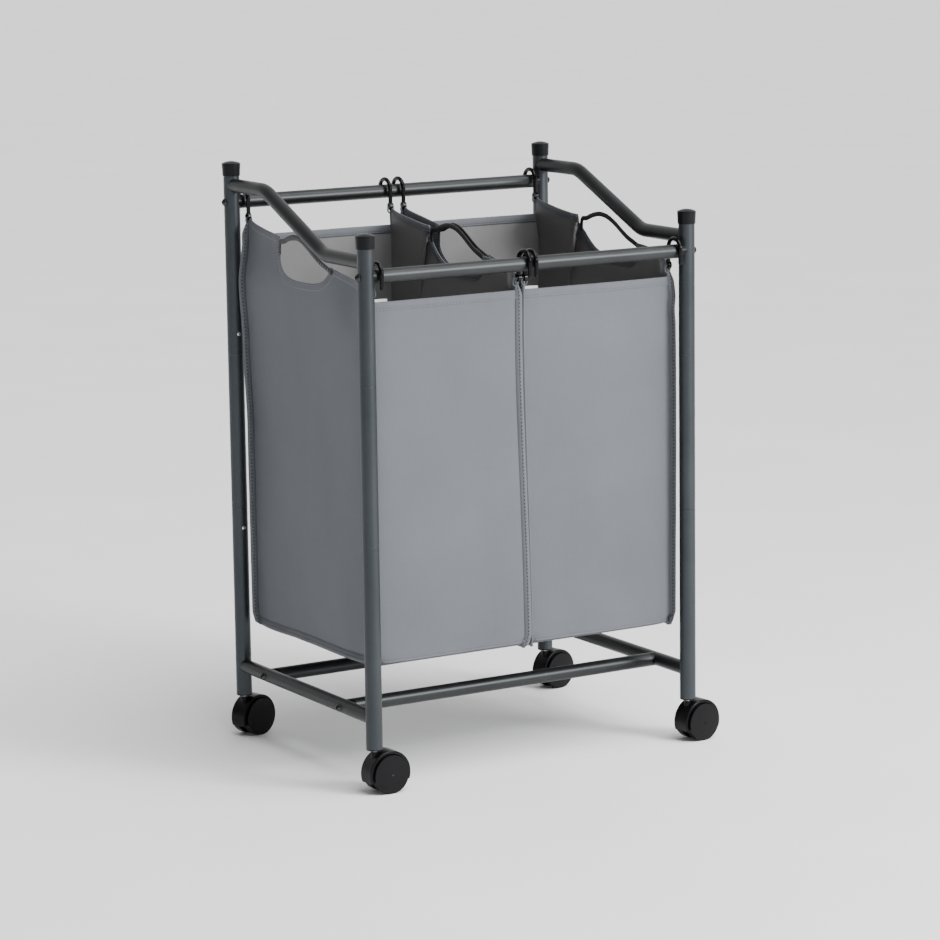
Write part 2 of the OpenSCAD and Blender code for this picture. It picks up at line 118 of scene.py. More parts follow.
class Batch:
    """Gathers many skins into one mesh."""

    def __init__(self):
        self.verts, self.faces = [], []

    def add(self, verts, faces):
        base = len(self.verts)
        self.verts += verts
        self.faces += [tuple(base + i for i in f) for f in faces]

    def build(self, name, materials):
        return add_mesh(name, self.verts, self.faces, materials)


# ---- materials ---------------------------------------------------------------

THREADS_PER_M = 1700


def new_material(name):
    material = bpy.data.materials.new(name)
    material.use_nodes = True
    nodes = material.node_tree.nodes
    return material, nodes, material.node_tree.links, nodes["Principled BSDF"]


def value_noise(nodes, links, scale, detail, coords=None, stretch=None):
    """Noise in object coordinates, optionally stretched."""
    texture = nodes.new("ShaderNodeTexNoise")
    texture.inputs["Scale"].default_value = scale
    texture.inputs["Detail"].default_value = detail
    if coords is None:
        coords = nodes.new("ShaderNodeTexCoord").outputs["Object"]
    if stretch:
        mapping = nodes.new("ShaderNodeMapping")
        mapping.inputs["Scale"].default_value = stretch
        links.new(coords, mapping.inputs["Vector"])
        coords = mapping.outputs["Vector"]
    links.new(coords, texture.inputs["Vector"])
    return texture.outputs["Fac"]


def colour_ramp(nodes, links, fac, stops):
    ramp = nodes.new("ShaderNodeValToRGB")
    ramp.color_ramp.elements[0].position, ramp.color_ramp.elements[0].color = stops[0][0], (*stops[0][1], 1)
    ramp.color_ramp.elements[1].position, ramp.color_ramp.elements[1].color = stops[-1][0], (*stops[-1][1], 1)
    for position, colour in stops[1:-1]:
        ramp.color_ramp.elements.new(position).color = (*colour, 1)
    links.new(fac, ramp.inputs["Fac"])
    return ramp.outputs["Color"]


def map_range(nodes, links, fac, low, high):
    node = nodes.new("ShaderNodeMapRange")
    node.inputs["To Min"].default_value = low
    node.inputs["To Max"].default_value = high
    links.new(fac, node.inputs["Value"])
    return node.outputs["Result"]


def add_bump(nodes, links, shader, height, strength, distance, below=None):
    node = nodes.new("ShaderNodeBump")
    node.inputs["Strength"].default_value = strength
    node.inputs["Distance"].default_value = distance
    links.new(height, node.inputs["Height"])
    if below is not None:
        links.new(below, node.inputs["Normal"])
    links.new(node.outputs["Normal"], shader.inputs["Normal"])
    return node.outputs["Normal"]


def math_node(nodes, links, operation, a, b=None):
    node = nodes.new("ShaderNodeMath")
    node.operation = operation
    for socket, value in zip(node.inputs, (a, b)):
        if value is None:
            continue
        if isinstance(value, (int, float)):
            socket.default_value = value
        else:
            links.new(value, socket)
    return node.outputs["Value"]


def powder_coat(name, dark, light):
    """Satin metallic powder coat: fine orange peel, tiny flakes and slight unevenness."""
    material, nodes, links, shader = new_material(name)
    cloud = value_noise(nodes, links, 9, 3)
    flakes = value_noise(nodes, links, 2600, 2)
    mixed = math_node(nodes, links, "ADD", math_node(nodes, links, "MULTIPLY", cloud, 0.35),
                      math_node(nodes, links, "MULTIPLY", flakes, 0.65))
    links.new(colour_ramp(nodes, links, mixed, [(0.3, dark), (0.72, light)]), shader.inputs["Base Color"])
    links.new(map_range(nodes, links, cloud, 0.34, 0.46), shader.inputs["Roughness"])
    shader.inputs["Metallic"].default_value = 0.75
    shader.inputs["Specular IOR Level"].default_value = 0.3
    peel = value_noise(nodes, links, 900, 2)
    add_bump(nodes, links, shader, peel, 0.12, 0.0003)
    return material


def moulded_plastic(name, colour, roughness, grain=1400, strength=0.15, coat=0.0):
    """Moulded plastic with a fine spark-eroded grain and a slightly uneven gloss."""
    material, nodes, links, shader = new_material(name)
    cloud = value_noise(nodes, links, 40, 3)
    light = tuple(c * 1.35 for c in colour)
    links.new(colour_ramp(nodes, links, cloud, [(0.3, colour), (0.75, light)]), shader.inputs["Base Color"])
    links.new(map_range(nodes, links, cloud, roughness - 0.05, roughness + 0.07), shader.inputs["Roughness"])
    shader.inputs["Coat Weight"].default_value = coat
    shader.inputs["Coat Roughness"].default_value = 0.12
    shader.inputs["Specular IOR Level"].default_value = 0.14
    add_bump(nodes, links, shader, value_noise(nodes, links, grain, 2), strength, 0.0002)
    return material


def bare_steel(name, dark, light, roughness):
    """Zinc-plated or blackened steel with fine turning marks."""
    material, nodes, links, shader = new_material(name)
    cloud = value_noise(nodes, links, 120, 4)
    links.new(colour_ramp(nodes, links, cloud, [(0.3, dark), (0.75, light)]), shader.inputs["Base Color"])
    links.new(map_range(nodes, links, cloud, roughness - 0.06, roughness + 0.1), shader.inputs["Roughness"])
    shader.inputs["Metallic"].default_value = 1.0
    marks = value_noise(nodes, links, 300, 2, stretch=(1, 1, 14))
    add_bump(nodes, links, shader, marks, 0.1, 0.0002)
    return material


def woven_cloth(name, dark, light, roughness, sheen, weave_strength=0.35):
    """Plain-woven polyester: warp and weft threads, slubs, and soft handling creases."""
    material, nodes, links, shader = new_material(name)
    coords = nodes.new("ShaderNodeTexCoord").outputs["Object"]
    split = nodes.new("ShaderNodeSeparateXYZ")
    links.new(coords, split.inputs["Vector"])
    across = math_node(nodes, links, "ADD", split.outputs["X"], split.outputs["Y"])
    turns = THREADS_PER_M * 2 * math.pi
    warp = math_node(nodes, links, "SINE", math_node(nodes, links, "MULTIPLY", across, turns))
    weft = math_node(nodes, links, "SINE", math_node(nodes, links, "MULTIPLY", split.outputs["Z"], turns))
    weave = math_node(nodes, links, "MULTIPLY", warp, weft)
    weave01 = math_node(nodes, links, "ADD", math_node(nodes, links, "MULTIPLY", weave, 0.5), 0.5)
    slub_z = value_noise(nodes, links, 1, 2, coords, (1400, 1400, 40))
    slub_x = value_noise(nodes, links, 1, 2, coords, (40, 40, 1400))
    cloud = value_noise(nodes, links, 5.5, 4, coords)
    slubs = math_node(nodes, links, "MULTIPLY", math_node(nodes, links, "ADD", slub_z, slub_x), 0.16)
    tone = math_node(nodes, links, "ADD", math_node(nodes, links, "MULTIPLY", cloud, 0.55), slubs)
    tone = math_node(nodes, links, "ADD", tone, math_node(nodes, links, "MULTIPLY", weave01, 0.13))
    links.new(colour_ramp(nodes, links, tone, [(0.3, dark), (0.78, light)]), shader.inputs["Base Color"])
    links.new(map_range(nodes, links, cloud, roughness - 0.05, roughness + 0.08), shader.inputs["Roughness"])
    shader.inputs["Sheen Weight"].default_value = sheen
    shader.inputs["Sheen Roughness"].default_value = 0.45
    shader.inputs["Specular IOR Level"].default_value = 0.35
    creases = value_noise(nodes, links, 26, 5, coords)
    below = add_bump(nodes, links, shader, creases, 0.16, 0.0035)
    add_bump(nodes, links, shader, weave01, weave_strength, 0.00025, below)
    return material


def webbing(name):
    """Black woven webbing with a rib across it."""
    material, nodes, links, shader = new_material(name)
    coords = nodes.new("ShaderNodeTexCoord").outputs["Object"]
    ribs = value_noise(nodes, links, 1, 2, coords, (900, 900, 900))
    cloud = value_noise(nodes, links, 60, 3, coords)
    links.new(colour_ramp(nodes, links, cloud, [(0.3, (0.003, 0.003, 0.0035)), (0.8, (0.009, 0.009, 0.01))]),
              shader.inputs["Base Color"])
    links.new(map_range(nodes, links, cloud, 0.42, 0.6), shader.inputs["Roughness"])
    shader.inputs["Sheen Weight"].default_value = 0.03
    add_bump(nodes, links, shader, ribs, 0.4, 0.0004)
    return material


def floor_finish():
    """Matt white studio floor, a little uneven."""
    material, nodes, links, shader = new_material("studio_floor")
    cloud = value_noise(nodes, links, 3, 2)
    links.new(colour_ramp(nodes, links, cloud, [(0.3, (0.9, 0.9, 0.9)), (0.7, (0.93, 0.93, 0.93))]),
              shader.inputs["Base Color"])
    links.new(map_range(nodes, links, cloud, 0.6, 0.7), shader.inputs["Roughness"])
    return material


M = {
    "post_tube": powder_coat("post_tube", (0.028, 0.033, 0.037), (0.066, 0.074, 0.081)),
    "rail_tube": powder_coat("rail_tube", (0.02, 0.022, 0.022), (0.048, 0.051, 0.052)),
    "steel": bare_steel("steel", (0.5, 0.5, 0.5), (0.72, 0.72, 0.73), 0.28),
    "bolt": bare_steel("bolt", (0.03, 0.03, 0.032), (0.09, 0.09, 0.095), 0.3),
    "black_plastic": moulded_plastic("black_plastic", (0.004, 0.005, 0.006), 0.33),
    "hook_plastic": moulded_plastic("hook_plastic", (0.002, 0.002, 0.0024), 0.2, 500, 0.05, 0.12),
    "caster_plastic": moulded_plastic("caster_plastic", (0.0035, 0.0035, 0.004), 0.3),
    "bag_cloth": woven_cloth("bag_cloth", (0.088, 0.096, 0.107), (0.13, 0.141, 0.156), 0.6, 0.04),
    "bag_lining": woven_cloth("bag_lining", (0.135, 0.132, 0.133), (0.19, 0.186, 0.187), 0.5, 0.06, 0.15),
    "bag_hem": woven_cloth("bag_hem", (0.09, 0.098, 0.109), (0.134, 0.145, 0.16), 0.6, 0.06),
    "strap_webbing": webbing("strap_webbing"),
    "thread": woven_cloth("thread", (0.16, 0.165, 0.18), (0.26, 0.267, 0.29), 0.5, 0.1),
    # near-black cloth colour that paints the shadow along the seam stitch lines
    "painted_seam_shadow": woven_cloth("painted_seam_shadow", (0.02, 0.02, 0.023), (0.04, 0.04, 0.045), 0.7, 0.02),
    "label": woven_cloth("label", (0.72, 0.72, 0.71), (0.85, 0.85, 0.84), 0.5, 0.2, 0.2),
}


# ---- finishes on the CAD nodes ------------------------------------------------

NODE_FINISH = (
    ("_caster_hood", "caster_plastic"), ("_near_wheel", "caster_plastic"), ("_far_wheel", "caster_plastic"),
    ("_caster_axle", "steel"), ("caster_stems", "steel"), ("connector_rivets", "steel"),
    ("rail_end_nuts", "steel"), ("post_connectors", "steel"), ("_rail_bolts", "bolt"),
    ("rail_end_saddles", "black_plastic"), ("post_caps", "black_plastic"),
    ("caster_sockets", "black_plastic"),
    ("_hooks", "hook_plastic"), ("_straps", "strap_webbing"), ("_panel", "bag_cloth"),
    ("_handle", "rail_tube"), ("_rail", "rail_tube"), ("_post", "post_tube"),
)


def finish_node(name, obj):
    """Gives a CAD node the material of its kind."""
    for ending, finish in NODE_FINISH:
        if name.endswith(ending):
            if not obj.material_slots:
                obj.data.materials.append(M[finish])
            for slot in obj.material_slots:
                slot.material = M[finish]
            return


for node_name, node_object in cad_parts.items():
    finish_node(node_name, node_object)


# ---- bag geometry ---------------------------------------------------------------
# Heights and places in millimetres. A seam's knots are (height, place along X) from the
# bottom of the bag to the hook; the bags hang a little askew, each in its own way.

SEAM_X = {
    "left_bag": {
        "fl": ((168, -229), (560, -232), (657, -231)),
        "fr": ((168, -5), (585, -14.5), (657, -14)),
        "br": ((168, -8), (560, -10), (680, -8), (725, -9)),
        "bl": ((168, -231.5), (440, -232), (560, -236), (640, -240), (700, -233), (725, -232)),
    },
    "right_bag": {
        "fl": ((168, 6.5), (585, -1.5), (657, -0.5)),
        "fr": ((168, 236), (480, 238), (577, 237.5), (611, 234.5), (645, 228.5), (657, 228)),
        "br": ((168, 230), (560, 234), (650, 236), (725, 230)),
        "bl": ((168, 9), (560, 9), (680, 11), (725, 12)),
    },
}

SEAM_Y = 168.5
CLOTH_T = 1.1
FLANGE_W, FLANGE_T = 9.5, 2.2
HEM_W, HEM_T = 10, 0.85
HEM_Z = {"front": 646, "back": 704}
STITCH_PITCH, STITCH_L, STITCH_R = 5.0, 3.2, 0.42
# half width of the dark strip that paints the stitch shadow along the seams
SEAM_SHADOW_HALF_W = 0.8
STRAP_HALF_W, STRAP_HALF_T = 3.3, 0.9
EYE_Y, EYE_RISE = 168.9, 5.2
LABEL_L, LABEL_H = 25, 28
NOTCH_BACK_Y, NOTCH_FRONT_Y = 72, -69
NOTCH_BOTTOM_Z, NOTCH_R = 656, 24
NOTCH_BACK_Z, NOTCH_FRONT_Z = 711, 681
CORNER_RISE = 5.5
FOLD_LINE = ((560, 95), (640, 93), (657, 90), (675, 87), (690, 80), (709, 67))
FOLD_W = 5
FOLD_DEPTH = {"left_bag": 7, "right_bag": 12}
ROWS = 104


class Bag:
    """Surfaces of one hung bag. Every point is in millimetres."""

    def __init__(self, name):
        self.name = name
        low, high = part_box(name + "_front_panel")
        self.bottom, self.front_top = low.z / MM, high.z / MM
        self.back_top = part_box(name + "_back_panel")[1].z / MM
        self.seed = 11.0 * BAGS.index(name)

    def top(self, corner):
        return self.front_top if corner[0] == "f" else self.back_top

    def seam(self, corner, z):
        """Point on the seam at a corner: it turns in a little at the very bottom."""
        tuck = 1 - smooth(self.bottom, self.bottom + 12, z)
        side = -1 if corner[1] == "l" else 1
        front = -1 if corner[0] == "f" else 1
        x = along(SEAM_X[self.name][corner], z) - side * 1.5 * tuck
        turned = 9 * (1 - smooth(585, 645, z)) if (self.name, corner) == ("right_bag", "fr") else 0
        return Vector((x, front * (SEAM_Y - 3 * tuck - turned), z))

    def ripple(self, a, b, size, stretch=1.8):
        return noise.noise(Vector((a / size, b / (size * stretch), self.seed)))

    def cross(self, where, u, z):
        """Front or back panel: u runs from its left seam to its right one."""
        key = where[0]
        left, right = self.seam(key + "l", z), self.seam(key + "r", z)
        x = left.x + (right.x - left.x) * u
        out = -1 if where == "front" else 1
        near_left, near_right = x - left.x, right.x - x
        free = 1 - math.exp(-min(near_left, near_right) / 12)
        low = smooth(self.bottom, self.bottom + 30, z)
        belly = 2.4 * free + 1.2 * math.sin(math.pi * u) * low
        seed = 40 if where == "front" else 80
        soft = 2.0 * self.ripple(x + seed, z, 120, 2.2) + 0.8 * self.ripple(x - seed, z, 45, 2.5)
        under_hem = math.exp(-max(HEM_Z[where] - 12 - z, 0) / 8)
        pucker = under_hem * (0.5 * math.sin(x / 3.1 + 2 * math.sin(x / 23))
                              + 0.5 * self.ripple(x * 9, z, 60))
        y = (out * (SEAM_Y + belly + free * (soft + 0.5 * pucker))
             + (left.y - out * SEAM_Y) * math.exp(-near_left / 11)
             + (right.y - out * SEAM_Y) * math.exp(-near_right / 11))
        return Vector((x, y, z))

    def side(self, where, m, z):
        """Left or right panel: m is the place along Y on the flat cloth."""
        key = where[0]
        front, back = self.seam("f" + key, z), self.seam("b" + key, z)
        t = (m + SEAM_Y) / (2 * SEAM_Y)
        x = front.x + (back.x - front.x) * t
        y = front.y + (back.y - front.y) * t
        out = -1 if where == "left" else 1
        free = 1 - math.exp(-min(m + SEAM_Y, SEAM_Y - m) / 14)
        low = smooth(self.bottom, self.bottom + 40, z)
        belly = 1.5 * free + 2.0 * math.sin(math.pi * t) * low
        seed = 120 if where == "left" else 160
        soft = 2.4 * self.ripple(m + seed, z, 110, 2.4) + 0.9 * self.ripple(m - seed, z, 42, 3.0)
        if (self.name, where) == ("left_bag", "right"):
            belly, soft = 0.5 * belly, 0.4 * soft
        if (self.name, where) == ("right_bag", "left"):
            belly, soft = -1.6 * belly, 0.4 * soft
        x += out * free * (belly + soft)
        high = smooth(590, 668, z) * free
        if where == "left":
            # the lower corners of a left panel's hand hole are pulled round by its hem
            x += (9 if self.name == "left_bag" else 3) * bump(m, -116, 26) * high
            at_front = math.exp(-((m + 58) ** 2 + (z - 660) ** 2) / 600)
            at_back = math.exp(-((m - 60) ** 2 + (z - 660) ** 2) / 600)
            return Vector((x, y + 6 * at_front - 8 * at_back, z + 5 * at_front + 5 * at_back))
        # above, a right panel has one sharp fold behind its hand hole, whose lower back corner is drawn up
        # and forward, and a crease just behind its front seam
        depth = smooth(560, 668, z)
        tau = (along(FOLD_LINE, z) - m) / FOLD_W
        step = 0.5 * (1 + math.tanh(tau)) * smooth(-SEAM_Y, -SEAM_Y + 90, m)
        x += depth * FOLD_DEPTH[self.name] * step
        x -= 6 * math.exp(-abs(m + 157) / 4) * smooth(560, 655, z)
        y += depth * 13 * tau * math.exp(-tau * tau / 2)
        drawn = math.exp(-((m - 60) ** 2 + (z - 662) ** 2) / 900)
        return Vector((x, y - 15 * drawn, z + 10 * drawn))

    def floor(self, u, v, edges):
        """Bottom panel: blends its four edges and sags in the middle."""
        front, back, left, right = edges
        n, k = len(front) - 1, len(left) - 1
        i, j = round(u * n), round(v * k)
        point = (front[i].lerp(back[i], v) + left[j].lerp(right[j], u)
                 - front[0].lerp(front[n], u).lerp(back[0].lerp(back[n], u), v))
        point.z -= 2.0 * math.sin(math.pi * u) * math.sin(math.pi * v)
        return point


def normal_at(surface, m, z):
    """Unit normal of a panel, along its M direction crossed with Z."""
    step = 0.4
    a = surface(m + step, z) - surface(m - step, z)
    b = surface(m, z + step) - surface(m, z - step)
    return a.cross(b).normalized()


def spread(a, b, step):
    count = max(1, round(abs(b - a) / step))
    return [a + (b - a) * i / count for i in range(count)]


def side_columns(bag, where):
    """Columns of a side panel from back to front: (place at the bottom, place at the top, top height)."""
    def back_line(m):
        t = (m - NOTCH_BACK_Y) / (SEAM_Y - NOTCH_BACK_Y)
        return NOTCH_BACK_Z + (bag.back_top - NOTCH_BACK_Z) * t + CORNER_RISE * math.exp((m - SEAM_Y) / 9)

    def front_line(m):
        t = (m + SEAM_Y) / (NOTCH_FRONT_Y + SEAM_Y)
        corner = bag.front_top + CORNER_RISE + 1.5
        if where == "left":
            return corner + (NOTCH_FRONT_Z - corner) * t - 7 * math.sin(math.pi * t) * (1 - t)
        point = (corner - NOTCH_FRONT_Z + 3.5) * math.exp(-(m + SEAM_Y) / 6)
        return NOTCH_FRONT_Z + 0.5 - 4 * (1 - t) + point

    columns = [(m, m, back_line(m)) for m in spread(SEAM_Y, 106, 3.6) + spread(106, NOTCH_BACK_Y + 5, 1.2)]
    columns += [(m, m, back_line(m)) for m in spread(NOTCH_BACK_Y + 5, NOTCH_BACK_Y, 1.5)]
    arc_z = NOTCH_BOTTOM_Z + NOTCH_R
    for i, z in enumerate(spread(NOTCH_BACK_Z, arc_z, 4)):
        columns.append((NOTCH_BACK_Y - 0.6 * i, NOTCH_BACK_Y, z))
    start = columns[-1][0]
    centre = NOTCH_BACK_Y - NOTCH_R
    for i in range(12):
        a = math.pi / 2 * i / 12
        columns.append((start + (centre - start) * (i + 1) / 13,
                        centre + NOTCH_R * math.cos(a), arc_z - NOTCH_R * math.sin(a)))
    centre_f = NOTCH_FRONT_Y + NOTCH_R
    columns += [(m, m, NOTCH_BOTTOM_Z) for m in spread(centre, centre_f, 4)]
    for i in range(13):
        a = math.pi / 2 * i / 12
        m = centre_f - NOTCH_R * math.sin(a)
        columns.append((m, m, arc_z - NOTCH_R * math.cos(a)))
    columns += [(m, m, front_line(m))
                for m in spread(NOTCH_FRONT_Y - 0.8, -147, 3.4) + spread(-147, -SEAM_Y, 1.4)]
    columns.append((-SEAM_Y, -SEAM_Y, front_line(-SEAM_Y)))
    return columns


def cross_columns(where):
    """Columns of the front or back panel, closer together near its seams: (u, top height)."""
    count = 58
    out = []
    for i in range(count + 1):
        c = math.cos(math.pi * i / count)
        out.append((0.5 - 0.5 * c * (0.86 + 0.14 * abs(c)), HEM_Z[where]))
    return out


def grid_faces(rows, columns, base, flip):
    faces = []
    for i in range(columns - 1):
        for j in range(rows - 1):
            quad = (base + i * rows + j, base + (i + 1) * rows + j,
                    base + (i + 1) * rows + j + 1, base + i * rows + j + 1)
            faces.append(tuple(reversed(quad)) if flip else quad)
    return faces


def bag_shell(bag):
    """The whole bag as one shell: four panels that meet at the seams, and the bottom."""
    verts, faces, bottoms = [], [], {}
    for where in ("front", "back"):
        columns = cross_columns(where)
        base = len(verts)
        for u, top in columns:
            for j in range(ROWS + 1):
                verts.append(bag.cross(where, u, bag.bottom + (top - bag.bottom) * j / ROWS))
        faces += grid_faces(ROWS + 1, len(columns), base, where == "back")
        bottoms[where] = [verts[base + i * (ROWS + 1)] for i in range(len(columns))]
    for where in ("left", "right"):
        columns = side_columns(bag, where)
        base = len(verts)
        for low_m, top_m, top in columns:
            for j in range(ROWS + 1):
                t = j / ROWS
                m = low_m + (top_m - low_m) * t
                verts.append(bag.side(where, m, bag.bottom + (top - bag.bottom) * t))
        faces += grid_faces(ROWS + 1, len(columns), base, where == "right")
        bottoms[where] = [verts[base + i * (ROWS + 1)] for i in range(len(columns))][::-1]
    across, deep = len(bottoms["front"]), len(bottoms["left"])
    edges = (bottoms["front"], bottoms["back"], bottoms["left"], bottoms["right"])
    base = len(verts)
    for i in range(across):
        for j in range(deep):
            verts.append(bag.floor(i / (across - 1), j / (deep - 1), edges))
    faces += grid_faces(deep, across, base, True)
    return verts, faces


def weld(obj):
    """Joins the vertices that panels share along the seams."""
    mesh = bmesh.new()
    mesh.from_mesh(obj.data)
    bmesh.ops.remove_doubles(mesh, verts=mesh.verts, dist=0.02 * MM)
    mesh.to_mesh(obj.data)
    mesh.free()


# ---- hems, flanges and stitches ---------------------------------------------------

def hem_ring(width, t):
    """Section of a folded hem: (distance in from the cloth's edge, height off the cloth)."""
    return [(width, 0.3), (width - 0.5, t), (width * 0.5, t * 1.05), (0.5, t), (-0.5, t * 0.5),
            (-0.5, -t * 0.5), (0.5, -t), (width * 0.5, -t * 1.05), (width - 0.5, -t), (width, -0.3)]


def hem_along(batch, surface, path, inward, width=HEM_W):
    """Hem on the edge of a panel. path holds (m, z) places, inward the unit way into the cloth."""
    rings = []
    for (m, z), (dm, dz) in zip(path, inward):
        edge = surface(m, z)
        into = (surface(m + 0.5 * dm, z + 0.5 * dz) - edge).normalized()
        ring = []
        for d, off in hem_ring(width, HEM_T):
            at = (m + dm * max(d, 0), z + dz * max(d, 0))
            ring.append(surface(*at) + normal_at(surface, *at) * off + into * min(d, 0))
        rings.append(ring)
    batch.add(*sweep(rings))


def stitch(batch, at, way, up, length=STITCH_L):
    """One stitch: a short bead of thread, half sunk in the cloth."""
    side = way.cross(up).normalized()
    rings = []
    for s, k in ((-0.5, 0.25), (-0.32, 0.9), (0.0, 1.0), (0.32, 0.9), (0.5, 0.25)):
        lift = STITCH_R * (0.9 if abs(s) < 0.4 else 0.2)
        rings.append([at + way * (s * length) + up * (lift + STITCH_R * k * math.sin(a))
                      + side * (STITCH_R * k * math.cos(a))
                      for a in (math.radians(60 * q) for q in range(6))])
    batch.add(*sweep(rings))


def stitch_line(batch, points, ups):
    """Stitches a pitch apart along a polyline with a normal at each point."""
    travelled, due = 0.0, STITCH_PITCH / 2
    for a, b, up in zip(points, points[1:], ups):
        length = (b - a).length
        if length < 1e-6:
            continue
        while due <= travelled + length:
            stitch(batch, a.lerp(b, (due - travelled) / length), (b - a).normalized(), up)
            due += STITCH_PITCH
        travelled += length


def stitches_on(batch, surface, places, lift):
    """A stitch line over a panel at (m, z) places, on both of its sides."""
    points = [surface(*p) for p in places]
    normals = [normal_at(surface, *p) for p in places]
    for sign in (1, -1):
        stitch_line(batch, [p + n * (sign * lift) for p, n in zip(points, normals)],
                    [n * sign for n in normals])


def painted_shadow_strip(seam_shadows, points, ups):
    """Painted shadow of a stitch line: a thin dark strip laid on the cloth along the stitches."""
    rings = []
    for i, (p, n) in enumerate(zip(points, ups)):
        way = (points[min(i + 1, len(points) - 1)] - points[max(i - 1, 0)]).normalized()
        side = way.cross(n).normalized()
        rings.append([p - side * SEAM_SHADOW_HALF_W - n * 0.3, p - side * SEAM_SHADOW_HALF_W + n * 0.12,
                      p + side * SEAM_SHADOW_HALF_W + n * 0.12, p + side * SEAM_SHADOW_HALF_W - n * 0.3])
    seam_shadows.add(*sweep(rings))


def flange_strip(hems, threads, seam_shadows, points, outs, normals, widths):
    """Sewn seam that stands out from the bag: two cloth edges together, with a stitch line on both faces and
    a dark strip of painted shadow under each.
    """
    rings = []
    for p, o, n, w in zip(points, outs, normals, widths):
        t = FLANGE_T / 2
        rings.append([p - o * 1.2 - n * t, p + o * (0.7 * w) - n * t, p + o * w - n * (0.6 * t),
                      p + o * w + n * (0.6 * t), p + o * (0.7 * w) + n * t, p - o * 1.2 + n * t])
    hems.add(*sweep(rings))
    for sign in (1, -1):
        middle = [p + o * (0.55 * w) + n * (sign * FLANGE_T / 2)
                  for p, o, n, w in zip(points, outs, normals, widths)]
        ups = [n * sign for n in normals]
        stitch_line(threads, middle, ups)
        # dark strip of painted shadow under the stitch line
        painted_shadow_strip(seam_shadows, middle, ups)


def rounded(distance, radius):
    """Width of a band's end, from 0 at its tip to 1 past the radius."""
    t = min(max(distance / radius, 0.02), 1)
    return math.sqrt(1 - (1 - t) ** 2)


def corner_flanges(bag, hems, threads, seam_shadows):
    """Seams up the four corners. The right bag's front left one is turned in, away from its neighbour."""
    for corner in CORNERS:
        side = -1 if corner[1] == "l" else 1
        front = -1 if corner[0] == "f" else 1
        low, high = bag.bottom - 7.5, bag.top(corner) + CORNER_RISE - 1
        heights = [low + (high - low) * i / 132 for i in range(133)]
        points = []
        for z in heights:
            p = bag.seam(corner, max(z, bag.bottom))
            points.append(Vector((p.x, p.y, z)))
        wave = [noise.noise(Vector((z / 70, bag.seed, side + 3 * front))) for z in heights]
        if (bag.name, corner) == ("right_bag", "fl"):
            outs = [Vector((-0.3 - 0.1 * w, 1, 0)).normalized() for w in wave]
        else:
            outs = [Vector((side, front * (0.22 + 0.12 * w), 0)).normalized() for w in wave]
        normals = [Vector((side * front * o.y, -side * front * o.x, 0)) for o in outs]
        widths = [FLANGE_W * rounded(z - low, 9) * (0.25 + 0.75 * smooth(0, 24, high - z)) for z in heights]
        flange_strip(hems, threads, seam_shadows, points, outs, normals, widths)


def bottom_flanges(bag, hems, threads, seam_shadows):
    """Seams round the bottom: they hang below the side panels, and lie turned under the front and back."""
    for where in ("left", "right"):
        side = -1 if where == "left" else 1
        reach = SEAM_Y + 1.5
        ms = [-reach + 2 * reach * i / 90 for i in range(91)]
        points = []
        for m in ms:
            p = bag.side(where, min(max(m, -SEAM_Y), SEAM_Y), bag.bottom + 3)
            points.append(Vector((p.x, m * (SEAM_Y - 2) / SEAM_Y, p.z - 0.5)))
        sways = [0.12 + 0.15 * noise.noise(Vector((m / 45, bag.seed, side))) for m in ms]
        outs = [Vector((side * sway, 0, -1)).normalized() for sway in sways]
        normals = [Vector((side, 0, side * o.x)).normalized() for o in outs]
        widths = [(FLANGE_W + 0.5) * rounded(reach - abs(m), 9) for m in ms]
        flange_strip(hems, threads, seam_shadows, points, outs, normals, widths)
    for where in ("front", "back"):
        out = -1 if where == "front" else 1
        us = [0.01 + 0.98 * i / 60 for i in range(61)]
        points = [bag.cross(where, u, bag.bottom + 1.5) for u in us]
        outs = [Vector((0, -out * 0.75, -0.66))] * len(us)
        normals = [Vector((0, out * 0.66, -0.75))] * len(us)
        flange_strip(hems, threads, seam_shadows, points, outs, normals, [5.5] * len(us))


def panel_hems(bag, hems, threads):
    """Stitched hems on the top edges of the panels and round the hand holes."""
    for where in ("front", "back"):
        def surface(m, z, where=where):
            return bag.cross(where, m, z)
        columns = cross_columns(where)
        width = (bag.seam(where[0] + "r", HEM_Z[where]) - bag.seam(where[0] + "l", HEM_Z[where])).x

        def flat(m, z, surface=surface, width=width):
            return surface(min(max(m / width, 0.0), 1.0), z)
        path = [(u * width, top) for u, top in columns]
        hem_along(hems, flat, path, [(0, -1)] * len(path), 12)
        stitches_on(threads, flat, [(m, z - 9.5) for m, z in path], 0.8)
    for where in ("left", "right"):
        edge = [(m, z) for _, m, z in side_columns(bag, where)]
        back = [p for p in edge if p[0] >= NOTCH_BACK_Y and p[1] >= NOTCH_BACK_Z - 0.01]
        front = [p for p in edge if p[0] <= NOTCH_FRONT_Y - 0.5]
        notch = edge[len(back) - 1:len(edge) - len(front)]

        def surface(m, z, where=where):
            return bag.side(where, m, z)
        for path in (back, front):
            hem_along(hems, surface, path, [(0, -1)] * len(path))
            stitches_on(threads, surface, [(m, z - 8) for m, z in path], 0.8)
        inward = []
        for i in range(len(notch)):
            (a, b), (c, d) = notch[max(i - 1, 0)], notch[min(i + 1, len(notch) - 1)]
            way = Vector((c - a, d - b)).normalized()
            inward.append((-way.y, way.x))
        middle = (NOTCH_BACK_Y + NOTCH_FRONT_Y) / 2
        inward = [(dm, dz) if dz < 0 or (m - middle) * dm > 0 else (-dm, -dz)
                  for (m, _), (dm, dz) in zip(notch, inward)]
        hem_along(hems, surface, notch, inward, 10)
        for inset in (1.8, 8.5):
            stitches_on(threads, surface, [(m + inset * dm, z + inset * dz)
                                           for (m, z), (dm, dz) in zip(notch, inward)], 0.8)


